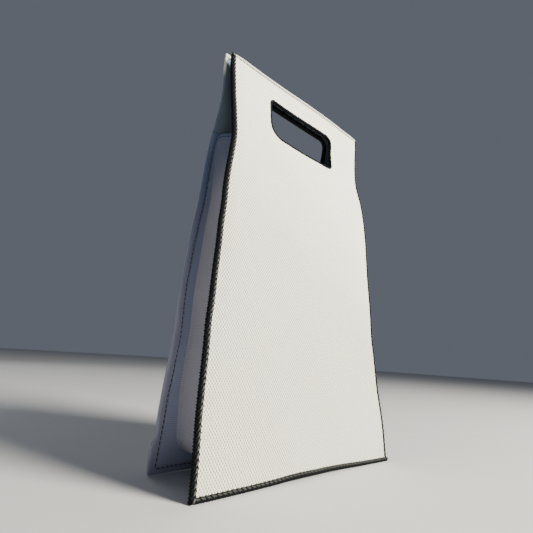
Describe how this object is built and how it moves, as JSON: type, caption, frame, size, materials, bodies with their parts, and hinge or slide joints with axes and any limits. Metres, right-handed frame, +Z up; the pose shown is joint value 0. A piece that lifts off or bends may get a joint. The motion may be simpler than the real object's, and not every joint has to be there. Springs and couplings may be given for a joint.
{
  "type": "lipo battery safe bag",
  "caption": "Tall A-shaped tote of coated glass cloth with a tapered front and back, a U-shaped gusset, a hand hole through both top flaps and black overlocked edges.",
  "frame": {"origin": "centre of the footprint, on the plane of the panels' bottom edges", "axes": "+Z up to the top fold, +X to the right of the front panel, the front panel faces -Y"},
  "size_m": [0.18, 0.0552, 0.298],
  "materials": {
    "front_cloth": "ivory coated glass cloth, plain weave",
    "back_cloth": "ivory coated glass cloth, plain weave",
    "lining_cloth": "pale grey uncoated glass cloth",
    "gusset_cloth": "pale grey coated glass cloth, fine ribs",
    "black_thread": "black spun polyester thread",
    "closure_tape": "white woven hook-and-loop tape"
  },
  "bodies": {
    "back_panel": {"back_panel": "back_cloth", "back_lining": "lining_cloth", "gusset_back_flange": "gusset_cloth", "back_seam_stitching": "black_thread", "gusset": "gusset_cloth", "gusset_hem_left": "gusset_cloth", "gusset_hem_right": "gusset_cloth", "gusset_hem_stitching": "black_thread"},
    "front_panel": {"front_panel": "front_cloth", "front_lining": "lining_cloth", "gusset_front_flange": "gusset_cloth", "front_edge_overlock": "black_thread"},
    "front_flap": {"front_flap": "front_cloth", "front_facing": "lining_cloth", "front_flap_overlock": "black_thread", "front_top_stitching": "black_thread", "front_handle_edging": "black_thread", "hook_strip": "closure_tape", "hook_strip_stitching": "black_thread"},
    "back_flap": {"back_flap": "back_cloth", "back_facing": "lining_cloth", "back_flap_stitching": "black_thread", "back_top_stitching": "black_thread", "back_handle_edging": "black_thread", "loop_strip": "closure_tape", "loop_strip_stitching": "black_thread"}
  },
  "joints": [
    {"name": "gusset_fold", "type": "hinge", "parent": "back_panel", "child": "front_panel", "pos_m": [0, -0.0108, 0.241], "axis": [1, 0, 0], "range_deg": [0, 8], "deforming": ["gusset", "gusset_hem_left", "gusset_hem_right", "gusset_hem_stitching"]},
    {"name": "front_flap_fold", "type": "hinge", "parent": "front_panel", "child": "front_flap", "pos_m": [0, -0.0108, 0.241], "axis": [1, 0, 0], "range_deg": [0, 75]},
    {"name": "back_flap_fold", "type": "hinge", "parent": "back_panel", "child": "back_flap", "pos_m": [0, 0.01035, 0.241], "axis": [-1, 0, 0], "range_deg": [0, 75]}
  ]
}
